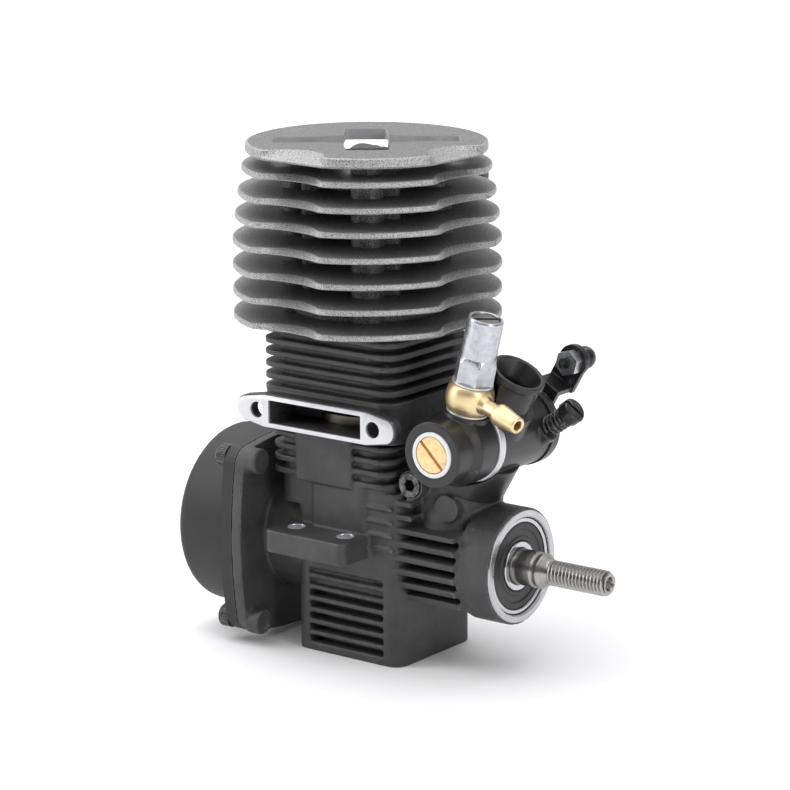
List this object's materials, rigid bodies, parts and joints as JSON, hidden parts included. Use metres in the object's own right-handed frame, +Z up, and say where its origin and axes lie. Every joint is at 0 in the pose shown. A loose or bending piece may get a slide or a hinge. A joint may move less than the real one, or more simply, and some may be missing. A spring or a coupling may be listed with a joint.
{
  "type": "model glow engine",
  "caption": "Small two-stroke glow engine with a finned cooling head, side exhaust, rotary carburettor, threaded drive shaft and recoil starter.",
  "frame": {"origin": "where the crankshaft's axis meets the cylinder's axis, which is the middle of the four bearer holes at the undersides of the lugs", "axes": "+X along the crankshaft towards its threaded end, -Y towards the exhaust side, +Z up the cylinder"},
  "size_m": [0.0917, 0.0621, 0.1007],
  "materials": {
    "cast_black": "matte black cast",
    "cast_silver": "rough cast",
    "machined_alloy": "machined",
    "bearing_steel": "ground",
    "shaft_steel": "turned",
    "hard_steel": "ground",
    "black_steel": "black oxide",
    "seal_rubber": "matte",
    "carb_plastic": "satin black",
    "brass": "turned",
    "zinc": "zinc plated",
    "white_plastic": "plain",
    "copper": "soft copper",
    "bronze": "sintered bronze",
    "plated_brass": "hard plated",
    "starter_plastic": "matte black",
    "pulley_plastic": "natural",
    "rope_cord": "braided",
    "handle_plastic": "fine texture"
  },
  "bodies": {
    "engine": {"crankcase": "cast_black", "cylinder_liner": "plated_brass", "head_gasket": "copper", "head_button": "machined_alloy", "cooling_head": "cast_silver", "head_screws": "black_steel", "glow_plug": "zinc", "glow_plug_washer": "copper", "front_bearing_outer_race": "bearing_steel", "front_bearing_seal": "seal_rubber", "rear_bearing_outer_race": "bearing_steel", "backplate": "cast_black", "backplate_gasket": "seal_rubber", "recoil_spring": "hard_steel", "starter_housing": "starter_plastic", "starter_screws": "black_steel", "rope_eyelet": "brass", "starter_rope": "rope_cord", "carburettor_body": "carb_plastic", "carburettor_end_cap": "carb_plastic", "carburettor_ring": "machined_alloy", "carburettor_seal": "seal_rubber", "carburettor_screw": "black_steel", "dust_ring": "carb_plastic", "low_speed_collar": "white_plastic", "idle_spring": "black_steel", "fuel_banjo": "brass", "banjo_washers": "machined_alloy", "needle_body": "zinc"},
    "crankshaft": {"crankshaft": "shaft_steel", "front_bearing_inner_race": "bearing_steel", "rear_bearing_inner_race": "bearing_steel", "starter_shaft": "hard_steel"},
    "front_balls": {"front_bearing_balls": "bearing_steel"},
    "rear_balls": {"rear_bearing_balls": "bearing_steel"},
    "piston": {"piston": "machined_alloy", "wrist_pin": "hard_steel", "wrist_pin_clips": "black_steel", "connecting_rod": "machined_alloy", "big_end_bush": "bronze", "small_end_bush": "bronze", "crankpin": "hard_steel"},
    "throttle": {"throttle_barrel": "machined_alloy", "throttle_lever": "black_steel", "ball_stud": "black_steel", "ball_nut": "zinc"},
    "main_needle": {"main_needle": "shaft_steel"},
    "low_speed_needle": {"low_speed_needle": "brass"},
    "idle_screw": {"idle_stop_screw": "black_steel"},
    "pulley": {"starter_pulley": "pulley_plastic", "one_way_bearing": "bearing_steel"},
    "handle": {"starter_handle": "handle_plastic"}
  },
  "joints": [
    {"name": "crankshaft_spin", "type": "hinge", "parent": "engine", "child": "crankshaft", "pos_m": [0, 0, 0], "axis": [1, 0, 0], "continuous": true},
    {"name": "front_balls_orbit", "type": "hinge", "parent": "engine", "child": "front_balls", "pos_m": [0, 0, 0], "axis": [1, 0, 0], "continuous": true},
    {"name": "rear_balls_orbit", "type": "hinge", "parent": "engine", "child": "rear_balls", "pos_m": [0, 0, 0], "axis": [1, 0, 0], "continuous": true},
    {"name": "piston_stroke", "type": "slide", "parent": "engine", "child": "piston", "axis": [0, 0, 1], "range_m": [-0.014, 0]},
    {"name": "throttle_turn", "type": "hinge", "parent": "engine", "child": "throttle", "pos_m": [0.02785, 0, 0.02415], "axis": [0, 1, 0], "range_deg": [0, 55]},
    {"name": "main_needle_turn", "type": "hinge", "parent": "engine", "child": "main_needle", "pos_m": [0.02785, -0.008, 0.02415], "axis": [0.2334, 0, 0.9724], "range_deg": [-900, 540]},
    {"name": "low_speed_needle_turn", "type": "hinge", "parent": "engine", "child": "low_speed_needle", "pos_m": [0.02785, -0.016, 0.02415], "axis": [0, 1, 0], "range_deg": [-720, 720]},
    {"name": "idle_screw_turn", "type": "hinge", "parent": "engine", "child": "idle_screw", "pos_m": [0.0412, 0.01, 0.0291], "axis": [0.809, 0, 0.5878], "range_deg": [-720, 720]},
    {"name": "handle_pull", "type": "slide", "parent": "engine", "child": "handle", "axis": [0.2486, 0.248, 0.9363], "range_m": [0, 0.25], "stiffness_N_per_m": 12, "springref_m": -0.1, "deforming": ["starter_rope", "recoil_spring"]},
    {"name": "pulley_turn", "type": "hinge", "parent": "engine", "child": "pulley", "pos_m": [-0.0265, 0, 0], "axis": [1, 0, 0], "range_deg": [0, 1300]}
  ],
  "couplings": [
    {"joint": "front_balls_orbit", "follows": "crankshaft_spin", "ratio": 0.3643},
    {"joint": "rear_balls_orbit", "follows": "crankshaft_spin", "ratio": 0.4182},
    {"joint": "pulley_turn", "follows": "handle_pull", "rad_per_m": 84.7}
  ]
}
